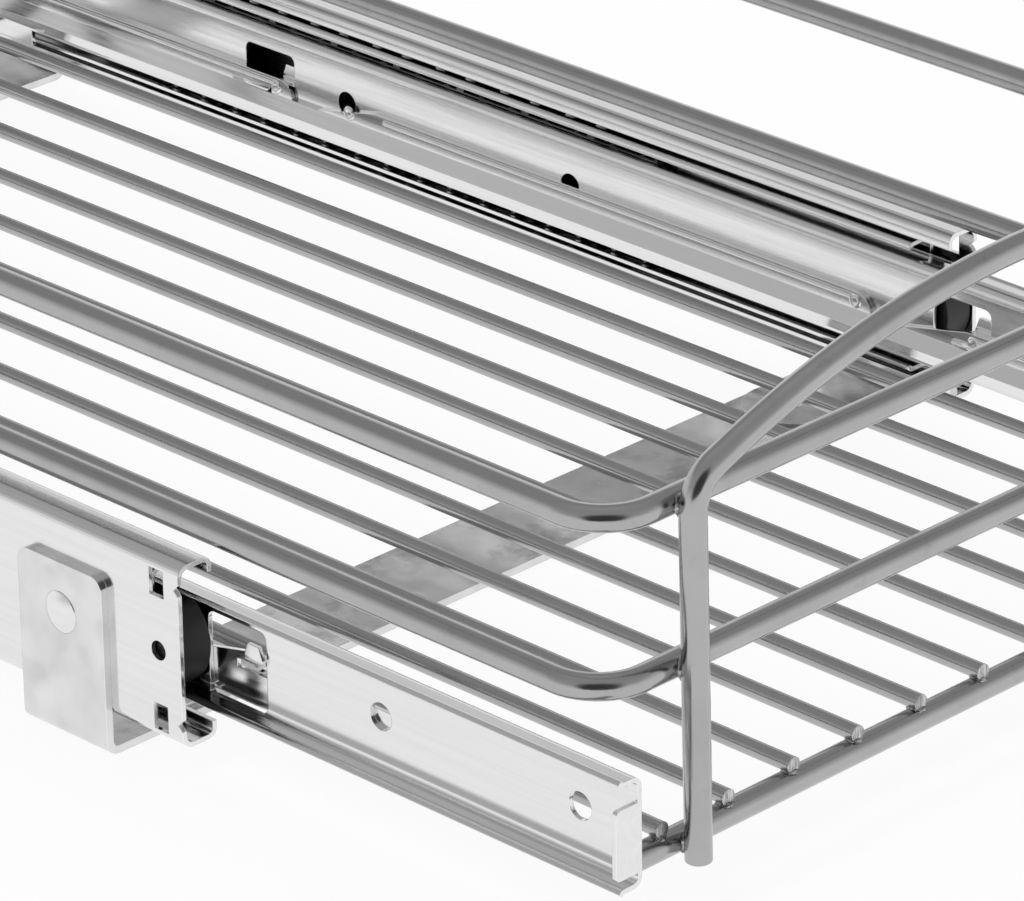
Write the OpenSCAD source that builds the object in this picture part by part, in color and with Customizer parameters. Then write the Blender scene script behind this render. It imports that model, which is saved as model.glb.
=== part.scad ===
// Pull-out wire basket for a kitchen cabinet, on two ball-bearing slides and two floor straps.
// Millimetres. +X is right, +Y is towards the back of the cabinet, +Z is up.
// The origin is on the cabinet floor, under the middle of the front strap.
// The basket is drawn part way out, as it is used; closed is pull_out further back.

/* [Slides] */
// Length of each slide
slide_length = 500; // [420:10:600]
// Distance between the outer faces of the two channels
slide_span = 269.4; // [240:0.1:420]
// Height of the channel that stays in the cabinet
channel_h = 45.7; // [43:0.1:52]
// Depth of that channel, from its outer face to its lips
channel_depth = 10.4; // [9.6:0.1:11.5]
// Whole depth of a slide, from the outer face to the basket side
slide_depth = 12.7; // [12.4:0.1:15]
// Sheet thickness of all three slide members
sheet_t = 1.2; // [1:0.1:1.4]
// Length of the middle member
middle_length = 420; // [380:5:460]
// How far the basket is pulled out of the cabinet in this model
pull_out = 132; // [60:1:160]
// Underside of the channels above the cabinet floor
channel_lift = 9.5; // [6:0.5:20]

/* [Ball cages] */
// Ball size between channel and middle member
outer_ball_d = 3.9; // [3.5:0.1:4.2]
// Ball size between middle member and basket member
inner_ball_d = 2.9; // [2.5:0.1:3.2]
// Sheet thickness of the ball cages
cage_t = 0.6; // [0.5:0.1:0.8]
// Number of long slots along a cage, each for two balls
slot_count = 8; // [4:1:9]
// Distance from one slot to the next
slot_pitch = 24; // [20:0.5:25]

/* [Floor straps] */
// Width of a strap
strap_w = 28.5; // [24:0.5:36]
// Thickness of a strap
strap_t = 2; // [1.5:0.1:3]
// Height of the upturned ears above the floor
ear_h = 45; // [38:0.5:50]
// Distance between the middles of the front and rear strap
strap_spacing = 320.6; // [240:0.2:400]
// Front edge of the front strap behind the front of the channels
strap_setback = 23.8; // [18:0.1:40]
// Floor screw hole
screw_hole_d = 5.5; // [4:0.1:6.5]
// Floor screws in from the outer faces of the channels
screw_inset = 26.7; // [22:0.1:60]
// Head size of the rivets that hold the channels
rivet_head_d = 10.5; // [8:0.1:12]

/* [Deck] */
// Number of deck wires
wire_count = 11; // [7:1:13]
// Deck wire
wire_d = 4; // [3:0.1:5]
// First and last deck wire in from the outer faces of the channels
wire_inset = 29.7; // [24:0.1:40]
// How much shorter than the slides the deck wires are
deck_short = 13; // [11:0.5:40]
// Middle of the slides above the middle of the deck wires
deck_drop = 10.4; // [9:0.1:12]
// Frame rod, used for loops, arch, posts and deck ends
rod_d = 6.3; // [5:0.1:7]

/* [Loops and arch] */
// Loop rails in from the outer faces of the channels
loop_inset = 9.9; // [6:0.1:16]
// Gap between the top of the channels and the lower loop
loop_gap = 3.3; // [2:0.1:20]
// Height from the lower loop to the upper loop
loop_spacing = 40.5; // [30:0.5:70]
// Bend radius at the corners of the loops
corner_r = 13; // [10:0.5:22]
// Posts in from the loop rails, at the deck rods
post_inset = 26.5; // [20:0.1:40]
// Height from the upper loop to the top of the arch
arch_rise = 28.5; // [26:0.5:34]
// Radius of the long curve of the arch
arch_r = 250; // [220:1:300]
// Bend radius between a post and the arch
arch_bend_r = 10; // [8:0.5:14]
// How far the arch leans out to the front, in degrees
arch_lean = 3; // [0:0.5:4]
// How far its posts splay to the sides, in degrees
arch_splay = 4; // [0:0.5:5]

/* [Hidden] */

$fn = 48;
overrun = 1;
bend_steps = 8;

// Fits and gaps
ball_play = 0.05;
cage_gap = 0.4;
weld_bite = 0.4;
rivet_play = 0.1;
bend_swell = 0.015;
bend_lap = 0.5;

// Slide sections, measured inwards from the outer face and up from the middle
channel_bend_r = 2.6;
channel_lip_r = 2;
channel_lip = 1.45;
middle_bend_r = 2.2;
middle_depth = 9;
middle_lip_r = 1.2;
basket_bend_r = 2.2;
basket_race = 2.6;
basket_lip_r = 1.6;
basket_lip = 0.2;
basket_lip_turn = 50;
cage_bend_r = 1;
cage_lip_r = 0.5;
cage_lip_in = 10.3;
cage_lip_gap = 0.3;
cage_slot_from = 14.2;
outer_ball_in = 5.4;
inner_ball_in = 8;
ball_clear = 0.15;

channel_inside = channel_h / 2 - sheet_t;
middle_top = channel_inside - outer_ball_d - 2 * ball_play;
basket_top = middle_top - sheet_t - inner_ball_d - 2 * ball_play;
outer_ball_up = channel_inside - outer_ball_d / 2 - ball_play;
inner_ball_up = basket_top + inner_ball_d / 2 + ball_play;
outer_cage_in = sheet_t + cage_gap;
middle_in = outer_cage_in + cage_t + cage_gap;
inner_cage_in = middle_in + sheet_t + cage_gap;
basket_web_in = slide_depth - sheet_t;

// Holes in the channel, behind its front end
end_hole_back = 7.2;
end_hole_w = 4.8;
end_hole_h = 6.8;
end_hole_down = 4.65;
end_hole_up = channel_inside - end_hole_down;
end_round_d = 4.8;
notch_size = 2;

// Holes and windows in the basket member, behind its front end
member_hole_d = 6.8;
member_hole_back = 17.3;
member_hole_step = 61.7;
middle_hole_off = 11.3;
window_hole_gap = 29.8;
window_back = 125.3;
window_w = 19;
window_low = 12.6;
window_high = 7.8;
window_corner_r = 2;
end_tab_low = 10;
end_tab_high = 7;
end_tab_reach = 6.7;
end_tab_corner_r = 1.2;

// Hanger strip, up from the middle of the slide
strip_t = 1.2;
strip_top = 0.7;
strip_low = 12.4;
strip_step = 4.9;
strip_start = 18;
strip_gap = 10;
strip_slope = 22;
strip_foot_w = 26;
strip_foot_down = 1.6;
bead_in = 2.5;
bead_ridge = 3.5;
bead_low = 0.8;
rib_r = 0.7;
rib_inset = 4;
rib_down = 1.6;
lance_w = 14;
lance_h = 2;
lance_off = 5.5;

// Floor straps
strap_bend_r = 2.4;
ear_corner_r = 3.5;
rivet_d = 5;
rivet_dome = 1.6;
pad_d = 25;
pad_rise = 1.5;
pad_wall = 2;

// Buffer at the front of the middle member
buffer_lead = 11.5;
buffer_hold = 10;
buffer_r = 12.2;
buffer_from_in = 1.7;
buffer_to_in = 9.9;
buffer_up = 11.7;
buffer_gap = 0.1;

// Places along the slides
channel_front = -strap_w / 2 - strap_setback;
member_front = channel_front - pull_out;
middle_front_gap = 12;
middle_front = channel_front + middle_front_gap;
cage_end = 1.3;
slot_bar = 2.6;
slot_l = slot_pitch - slot_bar;
cage_l = slot_count * slot_pitch - slot_bar + 2 * cage_end;
inner_cage_lag = 88;
outer_cage_lag = 118;
inner_cage_front = middle_front + inner_cage_lag;
outer_cage_front = channel_front + outer_cage_lag;
ball_spread = 5.6;

// Places across the slides and up
web_x = slide_span / 2;
slide_mid = channel_lift + channel_h / 2;
strip_x = web_x - slide_depth - strip_t;
deck_z = slide_mid - deck_drop;

// Basket
deck_setback = 10.4;
wire_over = 1.4;
post_tail = 3.4;
deck_front = member_front + deck_setback;
deck_length = slide_length - deck_short;
deck_back = deck_front + deck_length;
deck_half = web_x - wire_inset;
wire_step = 2 * deck_half / (wire_count - 1);
rod_z = deck_z - wire_d / 2 - rod_d / 2 + weld_bite;
front_y = deck_front + wire_over;
back_y = deck_back - wire_over;
loop_x = web_x - loop_inset;
lower_z = channel_lift + channel_h + loop_gap + rod_d / 2;
upper_z = lower_z + loop_spacing;
post_x = loop_x - post_inset;
post_gap = rod_d - weld_bite;

// The arch in its own leaning plane, measured up the plane from the deck rod
arch_centre = (upper_z + arch_rise - rod_z) / cos(arch_lean) - arch_r;
post_way = [sin(arch_splay), cos(arch_splay)];
bend_from = [post_x - arch_bend_r * post_way[1], arch_bend_r * post_way[0] - arch_centre];
bend_along = bend_from * post_way;
post_l = sqrt(pow(bend_along, 2) - bend_from * bend_from + pow(arch_r - arch_bend_r, 2)) - bend_along;
bend_at = bend_from + post_l * post_way + [0, arch_centre];
arch_half_turn = asin(bend_at[0] / (arch_r - arch_bend_r));

// Middle line of a bent sheet, as places with a heading.
// A move is a straight run, then a turn in degrees with a bend radius.
function turn_at(at, turn, r, heading) = let (s = sign(turn))
  [for (k = [0:bend_steps]) let (a = heading + turn * k / bend_steps)
    [at + s * r * [sin(a) - sin(heading), cos(heading) - cos(a)], a]];
function sheet_line(moves, at, heading, i = 0) =
  i == len(moves) ? [] :
  let (move = moves[i],
       bend_at = at + move[0] * [cos(heading), sin(heading)],
       bend = move[1] == 0 ? [[bend_at, heading]] : turn_at(bend_at, move[1], move[2], heading),
       last = bend[len(bend) - 1])
  concat(bend, sheet_line(moves, last[0], last[1], i + 1));
function beside(line, off) = [for (s = line) s[0] + off * [-sin(s[1]), cos(s[1])]];
function backwards(points) = [for (i = [len(points) - 1:-1:0]) points[i]];
function flipped(points) = [for (p = points) [p[0], -p[1]]];

// Outline of a C-shaped section of sheet: its upper half is given, its lower half mirrors it
function c_section(start_in, moves, t) =
  let (line = concat([[[start_in, 0], 90]], sheet_line(moves, [start_in, 0], 90)),
       a = beside(line, t / 2),
       b = beside(line, -t / 2))
  concat(backwards(flipped(a)), a, backwards(b), flipped(b));

channel_moves = [
  [channel_h / 2 - sheet_t / 2 - channel_bend_r, -90, channel_bend_r],
  [channel_depth - sheet_t - channel_bend_r - channel_lip_r, -90, channel_lip_r],
  [channel_lip, 0, 0]];
middle_moves = [
  [middle_top - sheet_t / 2 - middle_bend_r, -90, middle_bend_r],
  [middle_depth - sheet_t - middle_bend_r - middle_lip_r, -90, middle_lip_r]];
basket_moves = [
  [basket_top - sheet_t / 2 - basket_bend_r, 90, basket_bend_r],
  [basket_race, -basket_lip_turn, basket_lip_r],
  [basket_lip, 0, 0]];
outer_cage_moves = [
  [outer_ball_up - cage_bend_r, -90, cage_bend_r],
  [outer_ball_in + outer_ball_d / 2 + ball_clear + cage_t / 2 - outer_cage_in - cage_bend_r, 0, 0]];
inner_cage_moves = [
  [inner_ball_up - cage_bend_r, -90, cage_bend_r],
  [cage_lip_in - inner_cage_in - cage_t - cage_bend_r - cage_lip_r, -90, cage_lip_r],
  [inner_ball_up - cage_lip_r - basket_top - cage_lip_gap, 0, 0]];

// Puts a left-hand slide piece in place; the right-hand one is its mirror image
module on_side(right) {
  mirror([right ? 1 : 0, 0, 0]) translate([-web_x, 0, slide_mid]) children();
}

// Extrudes a section along the slide from front to back
module along(front, length) {
  translate([0, front + length, 0]) rotate([90, 0, 0]) linear_extrude(length) children();
}

// Cuts or makes a plate outline drawn in Y and Z, from one depth to another
module through(from_in, to_in) {
  translate([from_in, 0, 0])
    rotate([90, 0, 90]) linear_extrude(to_in - from_in) children();
}

// Rectangle with round corners, about the origin
module rounded(w, h, r) {
  union() {
    translate([-w / 2 + r, -h / 2]) square([w - 2 * r, h]);
    translate([-w / 2, -h / 2 + r]) square([w, h - 2 * r]);
    for (x = [-1, 1], y = [-1, 1])
      translate([x * (w / 2 - r), y * (h / 2 - r)]) circle(r);
  }
}

module outer_channel(right) {
  color("gainsboro") on_side(right) difference() {
    along(channel_front, slide_length) polygon(c_section(sheet_t / 2, channel_moves, sheet_t));
    through(-overrun, sheet_t + overrun) {
      for (up = [-1, 1]) {
        translate([channel_front + end_hole_back, up * end_hole_up])
          square([end_hole_w, end_hole_h], center = true);
        translate([channel_front, up * end_hole_up]) rotate(45) square(notch_size, center = true);
      }
    }
    translate([-overrun, channel_front + end_hole_back, 0])
      rotate([0, 90, 0]) cylinder(d = end_round_d, h = sheet_t + 2 * overrun);
    for (y = [0, strap_spacing])
      translate([-overrun, y, 0])
        rotate([0, 90, 0]) cylinder(d = rivet_d + 2 * rivet_play, h = sheet_t + 2 * overrun);
  }
}

// A cage for two rows of balls: a thin channel with long slots in its flanges,
// cut across from one depth to another and out from one height
module cage(front, web_in, moves, slot_in, slot_from, slot_to) {
  difference() {
    along(front, cage_l) polygon(c_section(web_in + cage_t / 2, moves, cage_t));
    for (row = [0, 1], i = [0:slot_count - 1])
      mirror([0, 0, row]) translate([slot_in[0], front + cage_end + i * slot_pitch, slot_from])
        cube([slot_in[1] - slot_in[0], slot_l, slot_to - slot_from]);
  }
}

// Two rows of balls, two balls to a slot
module balls(front, up, ball_in, ball_d) {
  for (row = [-1, 1], i = [0:slot_count - 1], pair = [-1, 1])
    translate([ball_in, front + cage_end + slot_l / 2 + i * slot_pitch + pair * ball_spread, row * up])
      sphere(d = ball_d);
}

module outer_cage(right) {
  slot_half = outer_ball_d / 2 + ball_clear;
  color("dimgray") on_side(right)
    cage(outer_cage_front, outer_cage_in, outer_cage_moves,
      [outer_ball_in - slot_half, outer_ball_in + slot_half],
      outer_ball_up - cage_t, outer_ball_up + cage_t);
}

module outer_balls(right) {
  color("silver") on_side(right)
    balls(outer_cage_front, outer_ball_up, outer_ball_in, outer_ball_d);
}

module inner_cage(right) {
  color("dimgray") on_side(right)
    cage(inner_cage_front, inner_cage_in, inner_cage_moves,
      [inner_ball_in - inner_ball_d / 2 - ball_clear, cage_lip_in + overrun],
      cage_slot_from, inner_ball_up + cage_t);
}

module inner_balls(right) {
  color("silver") on_side(right)
    balls(inner_cage_front, inner_ball_up, inner_ball_in, inner_ball_d);
}

module middle_member(right) {
  color("lightgray") on_side(right)
    along(middle_front, middle_length)
      polygon(c_section(middle_in + sheet_t / 2, middle_moves, sheet_t));
}

// Outline of the buffer in Y and Z, with a round nose, back to a given distance from its tip
module buffer_shape(length) {
  intersection() {
    union() {
      translate([buffer_r, 0]) circle(buffer_r);
      translate([buffer_r, -buffer_up]) square([length, 2 * buffer_up]);
    }
    translate([0, -buffer_up]) square([length, 2 * buffer_up]);
  }
}

// Black nose in front of the middle member, clipped to the inside of its web
module buffer(right) {
  color("black") on_side(right) translate([0, middle_front - buffer_lead, 0]) {
    through(buffer_from_in, buffer_to_in) buffer_shape(buffer_lead - buffer_gap);
    through(middle_in + sheet_t, buffer_to_in) buffer_shape(buffer_lead + buffer_hold);
  }
}

// Windows in front of which the hanger strip is clinched, in Y and Z
module windows() {
  for (y = [window_back, slide_length - window_back])
    translate([member_front + y, (window_high - window_low) / 2])
      rounded(window_w, window_high + window_low, window_corner_r);
}

// Round holes, behind the front end of the basket member
function member_holes() = [
  member_hole_back,
  member_hole_back + member_hole_step,
  slide_length / 2 + middle_hole_off,
  slide_length - window_back - window_hole_gap,
  slide_length - member_hole_back];

module basket_member(right) {
  color("gainsboro") on_side(right) {
    difference() {
      along(member_front, slide_length)
        polygon(c_section(slide_depth - sheet_t / 2, basket_moves, sheet_t));
      through(basket_web_in - overrun, slide_depth + overrun) intersection() {
        windows();
        translate([member_front, -window_low]) square([slide_length, window_low + basket_top]);
      }
      for (back = member_holes())
        translate([basket_web_in - overrun, member_front + back, 0])
          rotate([0, 90, 0]) cylinder(d = member_hole_d, h = sheet_t + 2 * overrun);
    }
    along(member_front, sheet_t)
      translate([(basket_web_in - end_tab_reach + slide_depth) / 2, (end_tab_high - end_tab_low) / 2])
        rounded(end_tab_reach + sheet_t, end_tab_low + end_tab_high, end_tab_corner_r);
  }
}

// Outline in Y and Z of one raised length of a hanger strip: round or square at the front,
// sloping or square at the back
module raised(front, back, round_front, slope_back) {
  base = strip_top - strip_step;
  slope = slope_back ? strip_slope : 0;
  r = round_front ? strip_step : 0;
  union() {
    translate([front + r, base]) square([back - front - r - slope, strip_step]);
    if (round_front) intersection() {
      translate([front + r, base]) circle(r);
      translate([front, base]) square([r, strip_step]);
    }
    if (slope_back) polygon([[back - slope, base], [back, base], [back - slope, base + strip_step]]);
  }
}

module rib(front, back, at_in, up) {
  translate([at_in, front, up]) {
    rotate([-90, 0, 0]) cylinder(r = rib_r, h = back - front);
    sphere(rib_r);
    translate([0, back - front, 0]) sphere(rib_r);
  }
}

// Strip on the basket side of the slide, clinched to it behind its lances. A ridged bead runs
// along it, three lengths rise above the bead, and the deck rods are welded to its two feet.
module hanger_strip(right) {
  face_in = slide_depth + strip_t;
  front = deck_front;
  back = member_front + slide_length;
  base = strip_top - strip_step;
  gap_1 = member_front + window_back + window_w / 2 + strip_gap;
  gap_2 = member_front + slide_length - window_back - window_w / 2 - strip_gap;
  foot_z = rod_z - slide_mid - strip_foot_down;
  sections = [[front + strip_start, gap_1, true, true],
              [gap_1 + strip_gap, gap_2, true, true],
              [gap_2 + strip_gap, back, true, false]];
  color("silver") on_side(right) difference() {
    union() {
      through(slide_depth, face_in) union() {
        translate([front, -strip_low]) square([back - front, strip_low + base]);
        for (s = sections) raised(s[0], s[1], s[2], s[3]);
        for (y = [front, back_y + wire_over - strip_foot_w])
          translate([y, foot_z]) square([strip_foot_w, -strip_low - foot_z]);
      }
      along(front, back - front)
        polygon([[face_in, base], [face_in + bead_in, base - bead_ridge], [face_in, bead_low - strip_low]]);
      for (s = sections)
        rib(s[0] + rib_inset + strip_step / 2, s[1] - rib_inset - (s[3] ? strip_slope : 0),
          face_in, strip_top - rib_down);
    }
    through(slide_depth - overrun, face_in + bead_in) for (y = lance_places())
      translate([y - lance_w / 2, base]) square([lance_w, lance_h]);
  }
}
function lance_places() = [
  member_front + window_back - lance_off,
  member_front + slide_length - window_back + lance_off];

module strap(y) {
  line = sheet_line([
      [ear_h - strap_t / 2 - strap_bend_r, 90, strap_bend_r],
      [slide_span + strap_t - 2 * strap_bend_r, 90, strap_bend_r],
      [ear_h - strap_t / 2 - strap_bend_r, 0, 0]],
    [-web_x - strap_t / 2, ear_h], -90);
  full = concat([[[-web_x - strap_t / 2, ear_h], -90]], line);
  span = slide_span + 4 * strap_t;
  color("silver") translate([0, y, 0]) difference() {
    union() {
      intersection() {
        along(-strap_w / 2, strap_w)
          polygon(concat(beside(full, strap_t / 2), backwards(beside(full, -strap_t / 2))));
        union() {
          translate([-span / 2, -strap_w / 2, -overrun]) cube([span, strap_w, ear_h / 2]);
          translate([-span / 2, 0, ear_h / 2]) rotate([90, 0, 90]) linear_extrude(span)
            rounded(strap_w, ear_h, ear_corner_r);
        }
      }
      for (x = [-1, 1]) translate([x * (web_x - screw_inset), 0, 0])
        cylinder(d = pad_d, h = strap_t + pad_rise);
    }
    for (x = [-1, 1]) {
      translate([x * (web_x - screw_inset), 0, -overrun]) {
        cylinder(d = screw_hole_d, h = strap_t + pad_rise + 2 * overrun);
        cylinder(d = pad_d - 2 * pad_wall, h = pad_rise + overrun);
      }
      translate([x * (web_x + strap_t + overrun), 0, slide_mid]) rotate([0, -x * 90, 0])
        cylinder(d = rivet_d + 2 * rivet_play, h = strap_t + 2 * overrun);
    }
  }
}

module front_strap() {
  strap(0);
}

module rear_strap() {
  strap(strap_spacing);
}

// Four rivets: a low dome outside the ear, and a shank that is flush inside the channel
module strap_rivets() {
  dome_r = (pow(rivet_head_d / 2, 2) + pow(rivet_dome, 2)) / (2 * rivet_dome);
  color("gainsboro") for (right = [false, true], y = [0, strap_spacing]) on_side(right)
    translate([0, y, 0]) {
      translate([-strap_t, 0, 0]) rotate([0, 90, 0]) cylinder(d = rivet_d, h = strap_t + sheet_t);
      intersection() {
        translate([-strap_t - rivet_dome + dome_r, 0, 0]) sphere(dome_r, $fn = 96);
        translate([-strap_t - rivet_dome, 0, 0]) rotate([0, 90, 0])
          cylinder(d = rivet_head_d, h = rivet_dome);
      }
    }
}

// Deck rod across the basket, welded to the hanger strips
module cross_rod(y) {
  translate([-strip_x, y, rod_z]) rotate([0, 90, 0]) cylinder(d = rod_d, h = 2 * strip_x);
}

module front_rod() {
  color("darkgray") cross_rod(front_y);
}

module rear_rod() {
  color("darkgray") cross_rod(back_y);
}

module deck_wire(i) {
  color("darkgray") difference() {
    translate([-deck_half + (i - 1) * wire_step, deck_front, deck_z])
      rotate([-90, 0, 0]) cylinder(d = wire_d, h = deck_length);
    cross_rod(front_y);
    cross_rod(back_y);
  }
}

module quarter_bend(x, y, turn) {
  translate([x, y, 0]) rotate([0, 0, turn])
    rotate_extrude(angle = 90) translate([corner_r, 0]) circle(d = rod_d);
}

// Middle of the rods in front, which step forward with the leaning arch
function front_at(z) = front_y - (z - rod_z) * tan(arch_lean);

// Closed loop of rod with rounded corners
module loop(z) {
  run_x = loop_x - corner_r;
  run_front = front_at(z) + corner_r;
  run_back = back_y - corner_r;
  color("darkgray") translate([0, 0, z]) {
    for (y = [front_at(z), back_y])
      translate([-run_x, y, 0]) rotate([0, 90, 0]) cylinder(d = rod_d, h = 2 * run_x);
    for (x = [-loop_x, loop_x])
      translate([x, run_front, 0]) rotate([-90, 0, 0]) cylinder(d = rod_d, h = run_back - run_front);
    quarter_bend(run_x, run_back, 0);
    quarter_bend(-run_x, run_back, 90);
    quarter_bend(-run_x, run_front, 180);
    quarter_bend(run_x, run_front, 270);
  }
}

module lower_loop() {
  loop(lower_z);
}

module upper_loop() {
  loop(upper_z);
}

// Straight length of rod that the posts are welded to
module post_seat(y, z) {
  translate([-post_x - 2 * rod_d, y, z]) rotate([0, 90, 0])
    cylinder(d = rod_d, h = 2 * post_x + 4 * rod_d);
}

// Part of a ring of rod in the X and Z plane, from one angle on by a turn
module upright_bend(x, z, r, from_angle, turn, d) {
  translate([x, 0, z]) rotate([90, 0, 0]) rotate([0, 0, from_angle])
    rotate_extrude(angle = turn) translate([r, 0]) circle(d = d);
}

// One bent rod: two posts in front of the loops, and the arch between their tops.
// The rod is a hair thicker in its two tight bends, and its straighter lengths run into them.
module front_arch() {
  bend_d = rod_d + 2 * bend_swell;
  bend_turn = 90 + arch_splay - arch_half_turn;
  lap_turn = bend_lap / arch_r * 180 / PI;
  color("darkgray") difference() {
    translate([0, front_y - post_gap / cos(arch_lean), rod_z]) rotate([arch_lean, 0, 0]) {
      for (side = [-1, 1])
        translate([side * post_x, 0, 0]) rotate([0, side * arch_splay, 0])
          translate([0, 0, -post_tail]) cylinder(d = rod_d, h = post_tail + post_l + bend_lap);
      upright_bend(-bend_at[0], bend_at[1], arch_bend_r, 90 + arch_half_turn, bend_turn, bend_d);
      upright_bend(bend_at[0], bend_at[1], arch_bend_r, -arch_splay, bend_turn, bend_d);
      upright_bend(0, arch_centre, arch_r,
        90 - arch_half_turn - lap_turn, 2 * (arch_half_turn + lap_turn), rod_d);
    }
    for (z = [rod_z, lower_z, upper_z]) post_seat(front_at(z), z);
  }
}

module rear_post(x) {
  color("darkgray") difference() {
    translate([x, back_y + post_gap, rod_z - post_tail])
      cylinder(d = rod_d, h = upper_z + rod_d / 2 - rod_z + post_tail);
    for (z = [rod_z, lower_z, upper_z]) post_seat(back_y, z);
  }
}

front_strap();
rear_strap();
strap_rivets();
outer_channel(false);  // outer_channel_left
outer_channel(true);  // outer_channel_right
outer_cage(false);  // outer_cage_left
outer_cage(true);  // outer_cage_right
outer_balls(false);  // outer_balls_left
outer_balls(true);  // outer_balls_right
middle_member(false);  // middle_member_left
middle_member(true);  // middle_member_right
buffer(false);  // buffer_left
buffer(true);  // buffer_right
inner_cage(false);  // inner_cage_left
inner_cage(true);  // inner_cage_right
inner_balls(false);  // inner_balls_left
inner_balls(true);  // inner_balls_right
basket_member(false);  // basket_member_left
basket_member(true);  // basket_member_right
hanger_strip(false);  // hanger_strip_left
hanger_strip(true);  // hanger_strip_right
front_rod();
rear_rod();
lower_loop();
upper_loop();
front_arch();
rear_post(-post_x);  // rear_post_left
rear_post(post_x);  // rear_post_right
for (i = [1:wire_count]) deck_wire(i);
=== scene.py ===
# Pull-out wire basket on ball-bearing slides, dressed for rendering.
import math

import bmesh
import bpy
from mathutils import Matrix, Vector, noise


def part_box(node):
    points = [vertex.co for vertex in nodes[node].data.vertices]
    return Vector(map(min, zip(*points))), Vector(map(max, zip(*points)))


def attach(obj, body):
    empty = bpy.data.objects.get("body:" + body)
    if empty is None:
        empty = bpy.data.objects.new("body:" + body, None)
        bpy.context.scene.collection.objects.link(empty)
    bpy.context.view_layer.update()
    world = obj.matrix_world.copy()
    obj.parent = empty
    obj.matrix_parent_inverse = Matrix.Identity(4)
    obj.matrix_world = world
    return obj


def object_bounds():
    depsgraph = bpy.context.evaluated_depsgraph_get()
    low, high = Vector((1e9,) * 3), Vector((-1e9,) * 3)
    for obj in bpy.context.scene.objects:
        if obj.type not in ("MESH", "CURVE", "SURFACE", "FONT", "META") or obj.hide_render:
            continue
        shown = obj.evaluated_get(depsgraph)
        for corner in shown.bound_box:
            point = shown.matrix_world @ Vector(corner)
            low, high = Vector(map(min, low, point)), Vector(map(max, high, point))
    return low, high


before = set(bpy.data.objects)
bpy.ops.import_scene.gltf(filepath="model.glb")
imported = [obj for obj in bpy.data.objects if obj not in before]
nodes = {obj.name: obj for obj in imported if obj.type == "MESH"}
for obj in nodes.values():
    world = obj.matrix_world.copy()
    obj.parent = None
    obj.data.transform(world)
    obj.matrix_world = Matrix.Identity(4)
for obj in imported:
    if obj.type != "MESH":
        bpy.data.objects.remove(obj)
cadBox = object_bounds()
mm = 0.001
sides = {"left": -1, "right": 1}
print("frame loaded:", len(nodes), "nodes")


def hexColor(text):
    # sRGB hex to the linear colour that the shaders take
    channels = [int(text[i:i + 2], 16) / 255 for i in (1, 3, 5)]
    return [c / 12.92 if c <= 0.04045 else ((c + 0.055) / 1.055) ** 2.4 for c in channels] + [1.0]


def addNode(tree, kind, settings=None, values=None, links=None):
    # one shader node, with its settings, its socket values and what is linked into it
    node = tree.nodes.new(kind)
    for name, value in (settings or {}).items():
        setattr(node, name, value)
    for name, value in (values or {}).items():
        node.inputs[name].default_value = value
    for name, socket in (links or {}).items():
        tree.links.new(socket, node.inputs[name])
    return node


# Camera, as the photograph was taken
camera = {
    "place": (-1082.3, -1103.3, 741.7),  # mm in the part's frame
    "azimuth": 44.686,  # degrees from +Y towards +X
    "down": 24.828,  # degrees
    "roll": -0.9315,  # degrees
    "lens": 248.58,  # mm
    "sensor": 36.0,  # mm
    "clip": (0.05, 60.0),  # m
}


def makeCamera():
    a, e, r = (math.radians(camera[k]) for k in ("azimuth", "down", "roll"))
    forward = Vector((math.sin(a) * math.cos(e), math.cos(a) * math.cos(e), -math.sin(e)))
    level = Vector((math.cos(a), -math.sin(a), 0))
    right = math.cos(r) * level + math.sin(r) * level.cross(forward)
    up = right.cross(forward)
    data = bpy.data.cameras.new("camera")
    data.lens = camera["lens"]
    data.sensor_width = camera["sensor"]
    data.clip_start, data.clip_end = camera["clip"]
    cam = bpy.data.objects.new("camera", data)
    cam.matrix_world = Matrix.Translation(Vector(camera["place"]) * mm) @ Matrix(
        (right, up, -forward)).transposed().to_4x4()
    bpy.context.scene.collection.objects.link(cam)
    bpy.context.scene.camera = cam


makeCamera()
print("camera made")

# Studio: a white table under a white horizon. The sky away from the camera is bright up to 25
# degrees, grey above that and lighter overhead, which gives rods their thin bright top line.
# Behind the camera stands the dark side of the room.
studio = {
    "floorSize": 40.0,  # m
    "floorGap": 0.2,  # mm, from the straps down to the floor
    "floorWhite": "#F6F6F6",
    "floorShows": 0.9,  # how much of the floor's white is the backdrop's, the rest takes shadows
    "skyAway": ((0.0, "#FFFFFF"), (0.26, "#F8F8F8"), (0.42, "#E2E2E2"), (0.54, "#A8A8A8"),
                (0.78, "#ACACAC"), (1.0, "#C2C2C2")),  # sine of the elevation, colour
    "skyNear": ((0.0, "#FFFFFF"), (0.12, "#EEEEEE"), (0.35, "#C2C2C2"), (1.0, "#B0B0B0")),
    "awayTurn": 45.0,  # degrees from +Y towards +X, the middle of the sky away from the camera
    "blend": 0.35,  # how softly the two skies meet
    "room": {"turn": 225.0, "up": 18.0,  # degrees, where its middle lies
             "from": 0.76, "to": 0.93, "color": "#4A4A4A"},  # cosines, from its rim inwards
    "lamps": {  # place in m, size in m, watts
        "windowLamp": ((-1.6, -0.6, 1.7), (1.0, 1.4), 20),
        "topLamp": ((0.3, 0.7, 1.9), (1.6, 0.7), 12),
        "rightLamp": ((1.5, -0.8, 1.2), (0.7, 0.9), 6),
    },
    "lampTarget": (0.0, 0.0, 0.04),
}


def makeSky(tree, stops, height):
    ramp = addNode(tree, "ShaderNodeValToRGB", links={0: height})
    points = ramp.color_ramp.elements
    points.remove(points[1])
    points[0].position, points[0].color = stops[0][0], hexColor(stops[0][1])
    for position, color in stops[1:]:
        points.new(position).color = hexColor(color)
    return ramp.outputs[0]


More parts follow.
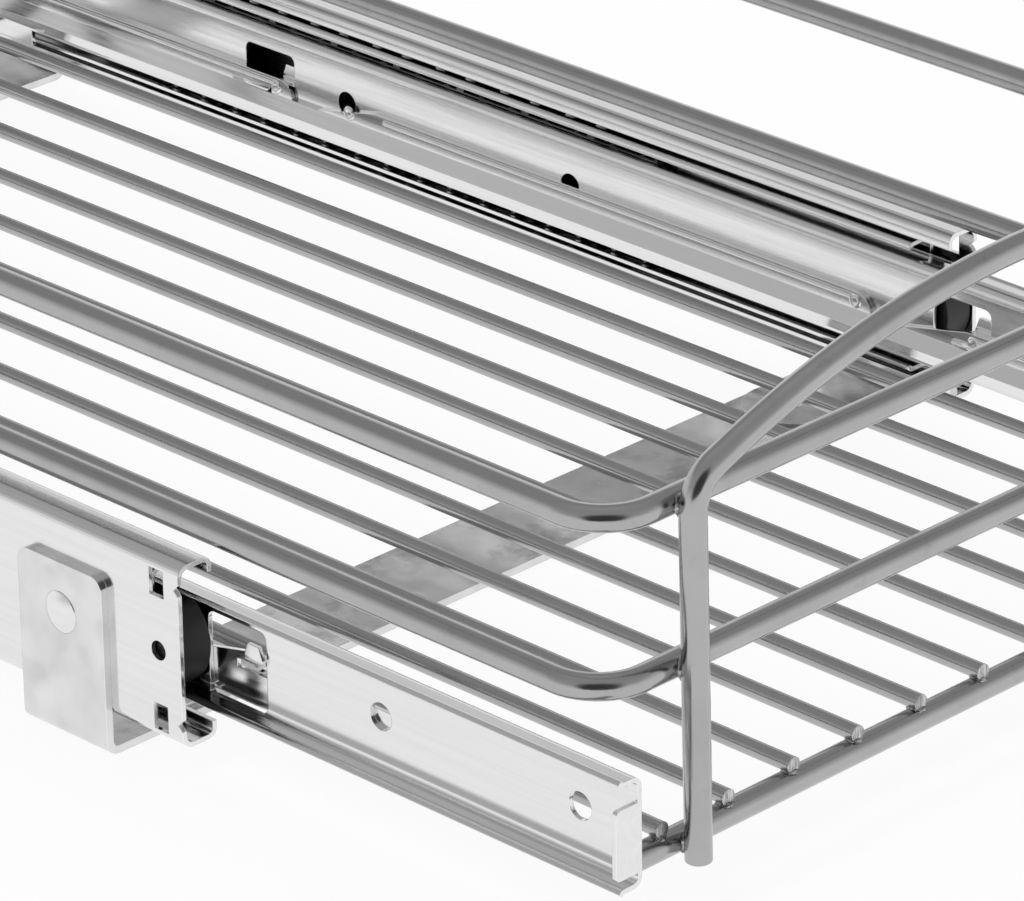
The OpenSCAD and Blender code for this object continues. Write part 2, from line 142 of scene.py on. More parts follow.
def makeStudio():
    scene = bpy.context.scene
    scene.view_settings.view_transform = "Standard"
    floorMesh = bpy.data.meshes.new("tableTop")
    s = studio["floorSize"] / 2
    z = cadBox[0].z - studio["floorGap"] * mm
    floorMesh.from_pydata([(-s, -s, z), (s, -s, z), (s, s, z), (-s, s, z)], [], [(0, 1, 2, 3)])
    floor = bpy.data.objects.new("tableTop", floorMesh)
    scene.collection.objects.link(floor)
    mat = bpy.data.materials.new("whiteTableTop")
    mat.use_nodes = True
    tree = mat.node_tree
    tree.nodes.clear()
    path = addNode(tree, "ShaderNodeLightPath")
    seen = addNode(tree, "ShaderNodeMath", {"operation": "MAXIMUM"},
                   links={0: path.outputs["Is Camera Ray"], 1: path.outputs["Is Glossy Ray"]})
    seenAll = addNode(tree, "ShaderNodeMath", {"operation": "MAXIMUM"},
                      links={0: seen.outputs[0], 1: path.outputs["Is Transmission Ray"]})
    share = addNode(tree, "ShaderNodeMath", {"operation": "MULTIPLY"}, {1: studio["floorShows"]},
                    {0: seenAll.outputs[0]})
    matt = addNode(tree, "ShaderNodeBsdfDiffuse", values={"Color": hexColor(studio["floorWhite"])})
    white = addNode(tree, "ShaderNodeEmission", values={"Color": (1, 1, 1, 1), "Strength": 1.0})
    mix = addNode(tree, "ShaderNodeMixShader",
                  links={0: share.outputs[0], 1: matt.outputs[0], 2: white.outputs[0]})
    addNode(tree, "ShaderNodeOutputMaterial", links={"Surface": mix.outputs[0]})
    floorMesh.materials.append(mat)

    world = bpy.data.worlds.new("studio")
    scene.world = world
    world.use_nodes = True
    tree = world.node_tree
    tree.nodes.clear()
    where = addNode(tree, "ShaderNodeTexCoord").outputs["Generated"]
    height = addNode(tree, "ShaderNodeSeparateXYZ", links={0: where}).outputs["Z"]
    turn = math.radians(studio["awayTurn"])
    facing = addNode(tree, "ShaderNodeVectorMath", {"operation": "DOT_PRODUCT"},
                     {1: (math.sin(turn), math.cos(turn), 0)}, {0: where})
    away = addNode(tree, "ShaderNodeMapRange", values={1: -studio["blend"], 2: studio["blend"]},
                   links={0: facing.outputs["Value"]})
    sky = addNode(tree, "ShaderNodeMix", {"data_type": "RGBA"},
                  links={0: away.outputs[0], 6: makeSky(tree, studio["skyNear"], height),
                         7: makeSky(tree, studio["skyAway"], height)})
    # the dark side of the room, which the rods' bends reflect
    p = studio["room"]
    turn, up = math.radians(p["turn"]), math.radians(p["up"])
    toward = (math.sin(turn) * math.cos(up), math.cos(turn) * math.cos(up), math.sin(up))
    near = addNode(tree, "ShaderNodeVectorMath", {"operation": "DOT_PRODUCT"}, {1: toward},
                   {0: where})
    patch = addNode(tree, "ShaderNodeMapRange", {"interpolation_type": "SMOOTHSTEP"},
                    {1: p["from"], 2: p["to"]}, {0: near.outputs["Value"]})
    room = addNode(tree, "ShaderNodeMix", {"data_type": "RGBA"}, {7: hexColor(p["color"])},
                   {0: patch.outputs[0], 6: sky.outputs[2]})
    back = addNode(tree, "ShaderNodeBackground", values={"Strength": 1.0},
                   links={"Color": room.outputs[2]})
    addNode(tree, "ShaderNodeOutputWorld", links={"Surface": back.outputs[0]})

    target = Vector(studio["lampTarget"])
    for name, (place, size, watts) in studio["lamps"].items():
        data = bpy.data.lights.new(name, "AREA")
        data.shape = "RECTANGLE"
        data.size, data.size_y = size
        data.energy = watts
        lamp = bpy.data.objects.new(name, data)
        lamp.location = place
        lamp.rotation_euler = (target - Vector(place)).to_track_quat("-Z", "Y").to_euler()
        lamp.visible_camera = False
        lamp.visible_glossy = False
        scene.collection.objects.link(lamp)


makeStudio()
print("studio made")


def newMaterial(name):
    mat = bpy.data.materials.new(name)
    mat.use_nodes = True
    tree = mat.node_tree
    tree.nodes.clear()
    return mat, tree


def stretched(tree, sizes):
    # object coordinates divided by a pattern size in mm along each axis
    where = addNode(tree, "ShaderNodeTexCoord")
    return addNode(tree, "ShaderNodeMapping", values={"Scale": [1 / (s * mm) for s in sizes]},
                   links={"Vector": where.outputs["Object"]}).outputs[0]


edgeHighlight = {"samples": 6, "fullAt": 0.8}  # cosine of the lean at which the painted edge highlight is full


def edgeMask(tree, radius):
    # 1 where a rounded copy of the surface would lean away from it, which is along its edges
    rounded = addNode(tree, "ShaderNodeBevel", {"samples": edgeHighlight["samples"]},
                      {"Radius": radius * mm})
    flat = addNode(tree, "ShaderNodeNewGeometry")
    lean = addNode(tree, "ShaderNodeVectorMath", {"operation": "DOT_PRODUCT"},
                   links={0: rounded.outputs[0], 1: flat.outputs["Normal"]})
    mask = addNode(tree, "ShaderNodeMapRange",
                   values={1: 1.0, 2: edgeHighlight["fullAt"], 3: 0.0, 4: 1.0},
                   links={0: lean.outputs["Value"]})
    return mask.outputs[0], rounded.outputs[0]


# Drawn steel rod, nickel plated and left satin: soft grey reflections, cloudy plating with an
# orange peel, small dark tarnish marks and fine specks
satinNickel = {
    "color": "#B6B6B6",
    "dull": "#A6A6A6",
    "tarnish": "#6A6A69",
    "tarnishShare": 0.22,  # how strong the dark marks are
    "roughness": (0.13, 0.24),
    "cloudSize": 16.0,  # mm
    "cloudRange": (0.3, 0.7),  # of the noise, from glossy to dull
    "markSize": 7.0,  # mm
    "markRange": (0.6, 0.74),  # of the noise, from clean to marked
    "grainSize": 0.5,  # mm, orange peel in the plating
    "grainHeight": 0.005,  # mm
    "grainStrength": 0.7,
    "pitSize": 1.3,  # mm, between specks in the plating
    "pitRange": (0.1, 0.04),  # share of that size, from the speck's rim to its middle
    "pitShare": 0.3,  # how strong the specks are
}


def makeSatinNickel():
    p = satinNickel
    mat, tree = newMaterial("satinNickelRod")
    clouds = addNode(tree, "ShaderNodeTexNoise", values={"Scale": 1.0, "Detail": 5.0},
                     links={"Vector": stretched(tree, [p["cloudSize"]] * 3)})
    marks = addNode(tree, "ShaderNodeTexNoise",
                    values={"Scale": 1.0, "Detail": 7.0, "Roughness": 0.7},
                    links={"Vector": stretched(tree, [p["markSize"]] * 3)})
    low, high = p["markRange"]
    markMask = addNode(tree, "ShaderNodeMapRange",
                       values={1: low, 2: high, 3: 0.0, 4: p["tarnishShare"]},
                       links={0: marks.outputs["Fac"]})
    pits = addNode(tree, "ShaderNodeTexVoronoi", values={"Scale": 1.0},
                   links={"Vector": stretched(tree, [p["pitSize"]] * 3)})
    rim, middle = p["pitRange"]
    pitMask = addNode(tree, "ShaderNodeMapRange",
                      values={1: rim, 2: middle, 3: 0.0, 4: p["pitShare"]},
                      links={0: pits.outputs["Distance"]})
    dark = addNode(tree, "ShaderNodeMath", {"operation": "MAXIMUM"},
                   links={0: markMask.outputs[0], 1: pitMask.outputs[0]})
    tint = addNode(tree, "ShaderNodeMix", {"data_type": "RGBA"},
                   {6: hexColor(p["color"]), 7: hexColor(p["dull"])}, {0: clouds.outputs["Fac"]})
    marked = addNode(tree, "ShaderNodeMix", {"data_type": "RGBA"}, {7: hexColor(p["tarnish"])},
                     {0: dark.outputs[0], 6: tint.outputs[2]})
    low, high = p["cloudRange"]
    gloss = addNode(tree, "ShaderNodeMapRange",
                    values={1: low, 2: high, 3: p["roughness"][0], 4: p["roughness"][1]},
                    links={0: clouds.outputs["Fac"]})
    grain = addNode(tree, "ShaderNodeTexNoise", values={"Scale": 1.0, "Detail": 2.0},
                    links={"Vector": stretched(tree, [p["grainSize"]] * 3)})
    bump = addNode(tree, "ShaderNodeBump",
                   values={"Strength": p["grainStrength"], "Distance": p["grainHeight"] * mm},
                   links={"Height": grain.outputs["Fac"]})
    shader = addNode(tree, "ShaderNodeBsdfPrincipled", values={"Metallic": 1.0},
                     links={"Base Color": marked.outputs[2], "Roughness": gloss.outputs[0],
                            "Normal": bump.outputs[0]})
    addNode(tree, "ShaderNodeOutputMaterial", links={"Surface": shader.outputs[0]})
    return mat


# Cold-rolled strip, bright zinc plated: pale and mirror-like, streaked along the rolling direction,
# with hairline scratches, and a painted highlight along the sheet's edges
brightZinc = {
    "color": "#ECECEC",
    "dull": "#DFDFDF",
    "edge": "#F8F8F8",
    "roughness": (0.07, 0.2),
    "streak": (1.4, 70.0, 1.4),  # mm, across, along and up
    "streakRange": (0.3, 0.7),  # of the noise, from glossy to dull
    "scratch": (0.35, 26.0, 0.35),  # mm
    "scratchWidth": 0.06,  # share of that size
    "scratchDepth": 0.003,  # mm
    "scratchStrength": 0.35,
    "waveSize": (22.0, 90.0, 16.0),  # mm, of the sheet's slight unevenness
    "waveHeight": 0.02,  # mm
    "waveStrength": 0.5,
    "edgeRadius": 0.3,  # mm
}


def makeBrightZinc():
    p = brightZinc
    mat, tree = newMaterial("brightZincStrip")
    streaks = addNode(tree, "ShaderNodeTexNoise",
                      values={"Scale": 1.0, "Detail": 6.0, "Roughness": 0.6},
                      links={"Vector": stretched(tree, p["streak"])})
    tint = addNode(tree, "ShaderNodeMix", {"data_type": "RGBA"},
                   {6: hexColor(p["color"]), 7: hexColor(p["dull"])}, {0: streaks.outputs["Fac"]})
    # painted highlight: the colour turns paler along the sheet's edges
    edge, rounded = edgeMask(tree, p["edgeRadius"])
    edgeLitTint = addNode(tree, "ShaderNodeMix", {"data_type": "RGBA"}, {7: hexColor(p["edge"])},
                   {0: edge, 6: tint.outputs[2]})
    low, high = p["streakRange"]
    gloss = addNode(tree, "ShaderNodeMapRange",
                    values={1: low, 2: high, 3: p["roughness"][0], 4: p["roughness"][1]},
                    links={0: streaks.outputs["Fac"]})
    scratches = addNode(tree, "ShaderNodeTexVoronoi", {"feature": "DISTANCE_TO_EDGE"},
                        {"Scale": 1.0}, {"Vector": stretched(tree, p["scratch"])})
    grooves = addNode(tree, "ShaderNodeMapRange",
                      values={1: 0.0, 2: p["scratchWidth"], 3: 0.0, 4: 1.0},
                      links={0: scratches.outputs["Distance"]})
    fine = addNode(tree, "ShaderNodeBump",
                   values={"Strength": p["scratchStrength"], "Distance": p["scratchDepth"] * mm},
                   links={"Height": grooves.outputs[0], "Normal": rounded})
    waves = addNode(tree, "ShaderNodeTexNoise", values={"Scale": 1.0, "Detail": 1.0},
                    links={"Vector": stretched(tree, p["waveSize"])})
    bump = addNode(tree, "ShaderNodeBump",
                   values={"Strength": p["waveStrength"], "Distance": p["waveHeight"] * mm},
                   links={"Height": waves.outputs["Fac"], "Normal": fine.outputs[0]})
    shader = addNode(tree, "ShaderNodeBsdfPrincipled", values={"Metallic": 1.0},
                     links={"Base Color": edgeLitTint.outputs[2], "Roughness": gloss.outputs[0],
                            "Normal": bump.outputs[0]})
    addNode(tree, "ShaderNodeOutputMaterial", links={"Surface": shader.outputs[0]})
    return mat


# Hot-dipped zinc sheet of the floor straps: duller, mottled in patches of two greys, with painted
# shade in dark blotches on what faces up, and painted highlights on the cut edges
mottledZinc = {
    "color": "#E4E4E4",
    "patch": "#D2D2D2",
    "paintedShade": "#6E6E6E",
    "edge": "#F4F4F4",
    "roughness": (0.14, 0.3),
    "paintedShadeShare": 0.6,  # how strong the painted shade is
    "paintedShadeUpright": 0.12,  # how much of the painted shade shows on upright faces
    "paintedShadeLevel": (0.3, 0.9),  # upward part of the normal, from upright to level
    "paintedShadeSize": 18.0,  # mm
    "paintedShadeRange": (0.52, 0.7),  # of the noise, from unshaded to shaded
    "patchSize": 5.5,  # mm
    "grainSize": 0.7,  # mm
    "grainHeight": 0.012,  # mm
    "grainStrength": 0.6,
    "edgeRadius": 0.35,  # mm
}


def makeMottledZinc():
    p = mottledZinc
    mat, tree = newMaterial("mottledZincSheet")
    patches = addNode(tree, "ShaderNodeTexVoronoi", {"feature": "SMOOTH_F1"}, {"Scale": 1.0},
                      {"Vector": stretched(tree, [p["patchSize"]] * 3)})
    shade = addNode(tree, "ShaderNodeSeparateColor", links={0: patches.outputs["Color"]})
    tint = addNode(tree, "ShaderNodeMix", {"data_type": "RGBA"},
                   {6: hexColor(p["color"]), 7: hexColor(p["patch"])}, {0: shade.outputs[0]})
    # painted shade: dark blotches, strongest on faces that lie level
    shadeBlotches = addNode(tree, "ShaderNodeTexNoise",
                     values={"Scale": 1.0, "Detail": 6.0, "Roughness": 0.65},
                     links={"Vector": stretched(tree, [p["paintedShadeSize"]] * 3)})
    low, high = p["paintedShadeRange"]
    shadeBlotchMask = addNode(tree, "ShaderNodeMapRange",
                        values={1: low, 2: high, 3: 0.0, 4: p["paintedShadeShare"]},
                        links={0: shadeBlotches.outputs["Fac"]})
    level = addNode(tree, "ShaderNodeSeparateXYZ",
                    links={0: addNode(tree, "ShaderNodeNewGeometry").outputs["Normal"]})
    low, high = p["paintedShadeLevel"]
    shadeOnLevel = addNode(tree, "ShaderNodeMapRange",
                    values={1: low, 2: high, 3: p["paintedShadeUpright"], 4: 1.0},
                    links={0: level.outputs["Z"]})
    paintedShadeHere = addNode(tree, "ShaderNodeMath", {"operation": "MULTIPLY"},
                        links={0: shadeBlotchMask.outputs[0], 1: shadeOnLevel.outputs[0]})
    shadedTint = addNode(tree, "ShaderNodeMix", {"data_type": "RGBA"}, {7: hexColor(p["paintedShade"])},
                      {0: paintedShadeHere.outputs[0], 6: tint.outputs[2]})
    # painted highlight: the colour turns paler along the cut edges
    edge, rounded = edgeMask(tree, p["edgeRadius"])
    edgeLitTint = addNode(tree, "ShaderNodeMix", {"data_type": "RGBA"}, {7: hexColor(p["edge"])},
                   {0: edge, 6: shadedTint.outputs[2]})
    gloss = addNode(tree, "ShaderNodeMapRange",
                    values={3: p["roughness"][0], 4: p["roughness"][1]},
                    links={0: shade.outputs[1]})
    grain = addNode(tree, "ShaderNodeTexNoise", values={"Scale": 1.0, "Detail": 4.0},
                    links={"Vector": stretched(tree, [p["grainSize"]] * 3)})
    bump = addNode(tree, "ShaderNodeBump",
                   values={"Strength": p["grainStrength"], "Distance": p["grainHeight"] * mm},
                   links={"Height": grain.outputs["Fac"], "Normal": rounded})
    shader = addNode(tree, "ShaderNodeBsdfPrincipled", values={"Metallic": 1.0},
                     links={"Base Color": edgeLitTint.outputs[2], "Roughness": gloss.outputs[0],
                            "Normal": bump.outputs[0]})
    addNode(tree, "ShaderNodeOutputMaterial", links={"Surface": shader.outputs[0]})
    return mat


# Plain metals with one noise for tint, gloss and height: cage steel is almost black, painted shade
# inside the slide, the balls glint, weld metal is lumpy with dark spots, sheared wire ends are pale
plainMetals = {
    # the cage's near-black tint is painted shade for the gaps the cage runs in
    "shadeDarkCageSteel": {"color": "#6B6C6E", "other": "#3F4042", "roughness": (0.25, 0.45),
                       "size": (1.0, 12.0, 1.0), "height": 0.004},
    "polishedBallSteel": {"color": "#E2E2E4", "other": "#C4C5C8", "roughness": (0.04, 0.12),
                          "size": (0.8, 0.8, 0.8), "height": 0.001},
    "platedWeldMetal": {"color": "#B8B8B7", "other": "#6A6866", "roughness": (0.2, 0.42),
                        "size": (1.1, 1.1, 1.1), "height": 0.12},
    "shearedRodEnd": {"color": "#D2D2D1", "other": "#9C9C9B", "roughness": (0.28, 0.5),
                      "size": (0.5, 0.5, 2.5), "height": 0.03},
}  # size and height in mm
plainSpread = {"range": (0.35, 0.65), "bumpStrength": 0.6}  # range of the noise between the colours


def makePlainMetal(name):
    p = plainMetals[name]
    mat, tree = newMaterial(name)
    cloud = addNode(tree, "ShaderNodeTexNoise", values={"Scale": 1.0, "Detail": 5.0},
                    links={"Vector": stretched(tree, p["size"])})
    low, high = plainSpread["range"]
    spread = addNode(tree, "ShaderNodeMapRange", values={1: low, 2: high},
                     links={0: cloud.outputs["Fac"]})
    tint = addNode(tree, "ShaderNodeMix", {"data_type": "RGBA"},
                   {6: hexColor(p["color"]), 7: hexColor(p["other"])}, {0: spread.outputs[0]})
    gloss = addNode(tree, "ShaderNodeMapRange",
                    values={3: p["roughness"][0], 4: p["roughness"][1]},
                    links={0: spread.outputs[0]})
    bump = addNode(tree, "ShaderNodeBump",
                   values={"Strength": plainSpread["bumpStrength"], "Distance": p["height"] * mm},
                   links={"Height": cloud.outputs["Fac"]})
    shader = addNode(tree, "ShaderNodeBsdfPrincipled", values={"Metallic": 1.0},
                     links={"Base Color": tint.outputs[2], "Roughness": gloss.outputs[0],
                            "Normal": bump.outputs[0]})
    addNode(tree, "ShaderNodeOutputMaterial", links={"Surface": shader.outputs[0]})
    return mat


# Moulded black plastic of the buffers: near black, with a fine spark-eroded grain and painted
# highlights on the edges
# part of the buffers' near black stands in for shade: they fill the gap behind the slide's mouth
blackPlastic = {
    "color": "#161617",
    "edge": "#3A3A3C",
    "roughness": (0.38, 0.55),
    "grainSize": 0.25,  # mm
    "grainHeight": 0.02,  # mm
    "grainStrength": 0.5,
    "edgeRadius": 0.4,  # mm
}


def makeBlackPlastic():
    p = blackPlastic
    mat, tree = newMaterial("grainedBlackPlastic")
    grain = addNode(tree, "ShaderNodeTexNoise", values={"Scale": 1.0, "Detail": 3.0},
                    links={"Vector": stretched(tree, [p["grainSize"]] * 3)})
    # painted highlight: the colour turns paler along the edges
    edge, rounded = edgeMask(tree, p["edgeRadius"])
    tint = addNode(tree, "ShaderNodeMix", {"data_type": "RGBA"},
                   {6: hexColor(p["color"]), 7: hexColor(p["edge"])}, {0: edge})
    gloss = addNode(tree, "ShaderNodeMapRange",
                    values={3: p["roughness"][0], 4: p["roughness"][1]},
                    links={0: grain.outputs["Fac"]})
    bump = addNode(tree, "ShaderNodeBump",
                   values={"Strength": p["grainStrength"], "Distance": p["grainHeight"] * mm},
                   links={"Height": grain.outputs["Fac"], "Normal": rounded})
    shader = addNode(tree, "ShaderNodeBsdfPrincipled",
                     links={"Base Color": tint.outputs[2], "Roughness": gloss.outputs[0],
                            "Normal": bump.outputs[0]})
    addNode(tree, "ShaderNodeOutputMaterial", links={"Surface": shader.outputs[0]})
    return mat


finishes = {
    "plated_rod": makeSatinNickel(),
    "slide_zinc": makeBrightZinc(),
    "strap_zinc": makeMottledZinc(),
    # cage steel: near black, painted shade for the slide's gaps
    "cage_steel": makePlainMetal("shadeDarkCageSteel"),
    "ball_steel": makePlainMetal("polishedBallSteel"),
    "black_plastic": makeBlackPlastic(),
}
weldMat = makePlainMetal("platedWeldMetal")
cutMat = makePlainMetal("shearedRodEnd")

# which finish each CAD piece takes, by the start of its name
finishOf = {
    "front_strap": "strap_zinc", "rear_strap": "strap_zinc", "hanger_strip": "slide_zinc",
    "outer_channel": "slide_zinc", "middle_member": "slide_zinc", "basket_member": "slide_zinc",
    "strap_rivets": "slide_zinc", "outer_cage": "cage_steel", "inner_cage": "cage_steel",
    # buffers: black plastic, which partly stands in for the shade behind the slide's mouth
    "outer_balls": "ball_steel", "inner_balls": "ball_steel", "buffer": "black_plastic",
}
for name, node in nodes.items():
    slots = [s for start, s in finishOf.items() if name.startswith(start)]
    node.data.materials.clear()
    node.data.materials.append(finishes[slots[0] if slots else "plated_rod"])
print("materials made:", len(bpy.data.materials))

# Where the rods run, read from the CAD pieces
rodLow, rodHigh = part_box("front_rod")
rodR = (rodHigh.z - rodLow.z) / 2
rodZ = (rodHigh.z + rodLow.z) / 2
backRodY = sum(p.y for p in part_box("rear_rod")) / 2
frontRodY = (rodLow.y + rodHigh.y) / 2
postX = sum(p.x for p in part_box("rear_post_right")) / 2
wireNames = sorted(n for n in nodes if n.startswith("deck_wire"))
wireLow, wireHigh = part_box(wireNames[0])
wireR = (wireHigh.z - wireLow.z) / 2
slideZ = sum(p.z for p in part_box("outer_channel_left")) / 2
stripFaceX = rodHigh.x  # the deck rods end on the hanger strips
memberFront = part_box("basket_member_left")[0].y


def addPiece(name, bm, material, body, smooth=True):
    mesh = bpy.data.meshes.new(name)
    bmesh.ops.recalc_face_normals(bm, faces=bm.faces)
    bm.to_mesh(mesh)
    bm.free()
    for face in mesh.polygons:
        face.use_smooth = smooth
    mesh.materials.append(material)
    piece = bpy.data.objects.new(name, mesh)
    bpy.context.scene.collection.objects.link(piece)
    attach(piece, body)


# How fine the unevenness of lumps and turned shapes is
uneven = {"lumpCoarse": 1.6, "lumpFine": 4.5, "fineShare": 0.45, "lathe": 2.0, "lumpFaces": 3}


def addLump(bm, centre, radii, seed, rough):
    # a blob of weld metal: a ball pulled out of shape by noise at two sizes
    made = bmesh.ops.create_icosphere(bm, subdivisions=uneven["lumpFaces"], radius=1.0)["verts"]
    for v in made:
        d = v.co.normalized()
        swell = 1 + rough * noise.noise(d * uneven["lumpCoarse"] + Vector((seed, 0, 0)))
        fine = noise.noise(d * uneven["lumpFine"] + Vector((0, seed, 0)))
        swell += rough * uneven["fineShare"] * fine
        v.co = Vector(d[i] * swell * radii[i] * mm for i in range(3)) + centre


def addLathe(bm, profile, centre, axis, steps, wobble, seed):
    # turns a profile of (radius, height) in mm about an axis; a radius of 0 closes the middle
    spin = Vector(axis).to_track_quat("Z", "Y").to_matrix()
    rings = []
    for radius, height in profile:
        if radius == 0:
            rings.append([bm.verts.new(centre + spin @ Vector((0, 0, height * mm)))])
            continue
        ring = []
        for i in range(steps):
            a = 2 * math.pi * i / steps
            way = Vector((math.cos(a), math.sin(a), 0))
            off = wobble * noise.noise(way * uneven["lathe"] + Vector((seed, radius, 0)))
            ring.append(bm.verts.new(centre + spin @ (way * (radius + off) * mm
                                                      + Vector((0, 0, (height + off) * mm)))))
        rings.append(ring)
    for inner, outer in zip(rings, rings[1:]):
        for i in range(steps):
            j = (i + 1) % steps
            if len(inner) == 1:
                bm.faces.new((inner[0], outer[i], outer[j]))
            else:
                bm.faces.new((inner[i], outer[i], outer[j], inner[j]))


# Weld metal squeezed out where rods and wires cross, and the fillets on the rods' ends
weld = {
    "post": (2.7, 1.5, 2.9),  # mm, half sizes of the blob between a post and a rod
    "wire": (1.9, 2.1, 1.05),  # between a deck wire and a rod
    "postRough": 0.22,  # how far a blob departs from a ball
    "wireRough": 0.3,
    "bite": 0.2,  # mm that the blob's middle lies inside the rod's surface
    "spatter": 0.45,  # mm, largest bead of spatter
    "spatterCount": 3,
    "spatterTurn": (2.4, 1.7),  # radians from a weld to the next, and such turns between beads
    "spatterReach": (3.6, 0.25, 0.9),  # mm from the blob, across, back and up
    "spatterFlat": 0.7,  # a bead's depth as a share of its width
    "wireSeed": (40, 2.3),  # of the first wire's welds, and the step to the next wire's
    "fillet": ((-0.1, 1.84), (0.4025, 1.3225), (0.8625, 0.6325), (1.15, 0.05), (0.46, -0.3),
               (-0.1, -0.3)),  # mm out from a deck rod, mm along it
    "filletSteps": 48,
    "filletWobble": 0.3,  # mm
    "filletSeed": 3.1,  # step from a fillet to the next
    "lean": 3.0,  # degrees that the arch leans forward
    "splay": 4.0,  # degrees that its posts splay
}


def makeWelds():
    lean, splay = math.radians(weld["lean"]), math.radians(weld["splay"])
    heights = [rodZ]
    for loop in ("lower_loop", "upper_loop"):
        heights.append(sum(p.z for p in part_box(loop)) / 2)
    bm = bmesh.new()
    seed = 0
    turn, between = weld["spatterTurn"]
    across, behind, above = weld["spatterReach"]
    for z in heights:
        up = z - rodZ
        front = frontRodY - up * math.tan(lean) - rodR + weld["bite"] * mm
        back = backRodY + rodR - weld["bite"] * mm
        for side in sides.values():
            x = postX + up / math.cos(lean) * math.tan(splay)
            for place in (Vector((side * x, front, z)), Vector((side * postX, back, z))):
                seed += 1
                addLump(bm, place, weld["post"], seed, weld["postRough"])
                for k in range(weld["spatterCount"]):
                    a = turn * (seed + k * between)
                    far = Vector((math.cos(a) * across, behind, math.sin(a) * above)) * mm
                    size = weld["spatter"] * (0.5 + 0.5 * abs(math.sin(3 * a)))
                    flat = size * weld["spatterFlat"]
                    addLump(bm, place + far, (size, flat, size), seed + k, weld["postRough"])
    addPiece("postWelds", bm, weldMat, "basket")

    bm = bmesh.new()
    first, step = weld["wireSeed"]
    for i, name in enumerate(wireNames):
        x = sum(p.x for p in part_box(name)) / 2
        for y in (frontRodY, backRodY):
            place = Vector((x, y, rodZ + rodR - weld["bite"] * mm))
            addLump(bm, place, weld["wire"], first + step * i + (y > 0), weld["wireRough"])
    addPiece("wireWelds", bm, weldMat, "basket")

    bm = bmesh.new()
    profile = [(rodR / mm + out, along) for out, along in weld["fillet"]]
    for i, (y, side) in enumerate((y, s) for y in (frontRodY, backRodY) for s in sides.values()):
        addLathe(bm, profile, Vector((side * stripFaceX, y, rodZ)), (-side, 0, 0),
                 weld["filletSteps"], weld["filletWobble"], weld["filletSeed"] * i)
    addPiece("rodEndFillets", bm, weldMat, "basket")


makeWelds()
print("welds made")

# Sheared ends of the deck wires: slightly domed, with a rolled-over rim
wireEnd = {
    "profile": ((0, 0.16), (0.45, 0.144), (0.8, 0.088), (0.93, 0.036), (0.99, -0.048),
                (1.01, -0.5)),  # share of the wire's radius, mm out
    "steps": 28,
    "wobble": 0.05,  # mm
    "backSeed": 20,  # added for the ends at the back
}


def makeWireEnds():
    bm = bmesh.new()
    profile = [(share * wireR / mm, out) for share, out in wireEnd["profile"]]
    steps, wobble = wireEnd["steps"], wireEnd["wobble"]
    for i, name in enumerate(wireNames):
        low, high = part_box(name)
        x, z = (low.x + high.x) / 2, (low.z + high.z) / 2
        addLathe(bm, profile, Vector((x, low.y, z)), (0, -1, 0), steps, wobble, i)
        addLathe(bm, profile, Vector((x, high.y, z)), (0, 1, 0), steps, wobble,
                 i + wireEnd["backSeed"])
    addPiece("wireEnds", bm, cutMat, "basket")


makeWireEnds()
print("wire ends made")

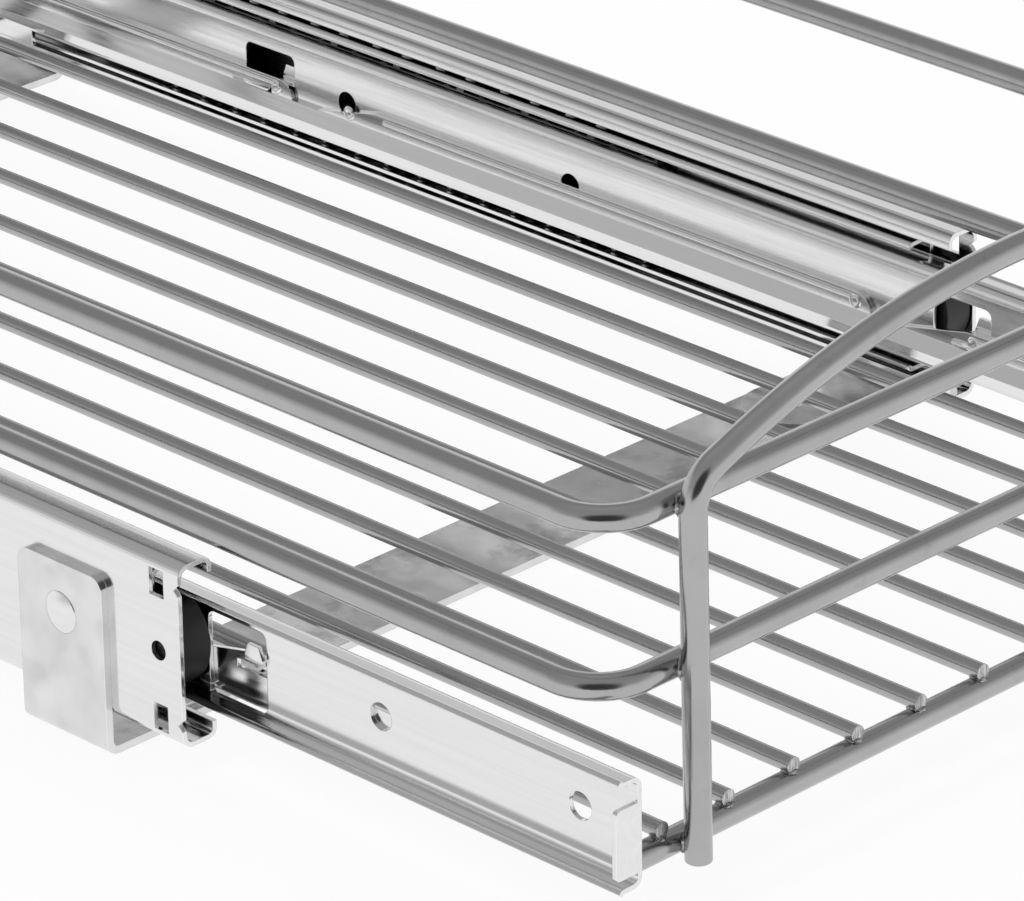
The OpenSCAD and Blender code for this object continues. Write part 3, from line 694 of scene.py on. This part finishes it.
# Marks of the press on the hanger strips: clinch buttons beside the lances, the lances' curled
# lips, and the hooks that show in the basket member's windows
press = {
    "buttonAt": (120.5, 160.0, 343.0, 371.5),  # mm behind the member's front
    "buttonDown": 1.9,  # mm below the middle of the slide
    "buttonProfile": ((0, -0.05), (0.5, -0.02), (0.85, 0.16), (1.15, 0.38), (1.45, 0.4),
                      (1.75, 0.25), (2.0, 0.05), (2.1, -0.1)),  # mm radius, mm out
    "buttonSteps": 30,
    "buttonWobble": 0.08,  # mm
    "buttonSeed": 7.5,
    "lanceAt": (119.8, 380.2),  # mm behind the member's front
    "lanceLength": 14.0,
    "lanceDown": 2.3,  # mm below the middle of the slide
    "lipPath": ((0.0, 0.05), (0.35, 0.0), (0.8, -0.2), (1.05, -0.6), (1.1, -1.1)),  # mm out, up
    "lipThick": 0.5,
    "lipCorner": 0.6,
    "hookAt": (119.0, 368.0),  # mm behind the member's front
    "hookWidth": 6.0,
    "hookPath": ((0.55, 0.15), (2.3, 0.15), (2.75, 0.3), (2.98, 0.7), (3.0, 1.2),
                 (3.0, 4.3)),  # mm in, mm up
    "hookThick": 1.1,
    "hookCorner": 1.2,
}


def addBentSheet(bm, path, thick, centre, length, outX, corner):
    # a sheet bent along a path of (out, up) in mm, with its far corners taken off
    sections = []
    for i, (out, up) in enumerate(path):
        before, after = path[max(i - 1, 0)], path[min(i + 1, len(path) - 1)]
        way = Vector((after[0] - before[0], after[1] - before[1])).normalized()
        side = Vector((-way.y, way.x)) * thick / 2
        half = length / 2 - (corner if i == len(path) - 1 else 0)
        ring = []
        for s, y in ((1, -half), (1, half), (-1, half), (-1, -half)):
            point = Vector((out, up)) + s * side
            ring.append(bm.verts.new(centre + Vector((outX * point.x, y, point.y)) * mm))
        sections.append(ring)
    for a, b in zip(sections, sections[1:]):
        for k in range(4):
            bm.faces.new((a[k], a[(k + 1) % 4], b[(k + 1) % 4], b[k]))
    bm.faces.new(sections[0])
    bm.faces.new(sections[-1][::-1])


def makePressMarks():
    buttonZ = slideZ - press["buttonDown"] * mm
    lanceZ = slideZ - press["lanceDown"] * mm
    for name, side in sides.items():
        bm = bmesh.new()
        for i, back in enumerate(press["buttonAt"]):
            centre = Vector((side * stripFaceX, memberFront + back * mm, buttonZ))
            addLathe(bm, press["buttonProfile"], centre, (-side, 0, 0), press["buttonSteps"],
                     press["buttonWobble"], i + press["buttonSeed"])
        for back in press["lanceAt"]:
            centre = Vector((side * stripFaceX, memberFront + back * mm, lanceZ))
            addBentSheet(bm, press["lipPath"], press["lipThick"], centre, press["lanceLength"],
                         -side, press["lipCorner"])
        addPiece("clinchMarks_" + name, bm, finishes["slide_zinc"], "basket")
        bm = bmesh.new()
        for back in press["hookAt"]:
            centre = Vector((side * stripFaceX, memberFront + back * mm, slideZ))
            addBentSheet(bm, press["hookPath"], press["hookThick"], centre, press["hookWidth"],
                         side, press["hookCorner"])
        addPiece("windowHooks_" + name, bm, finishes["slide_zinc"], "basket", False)


makePressMarks()
print("press marks made")
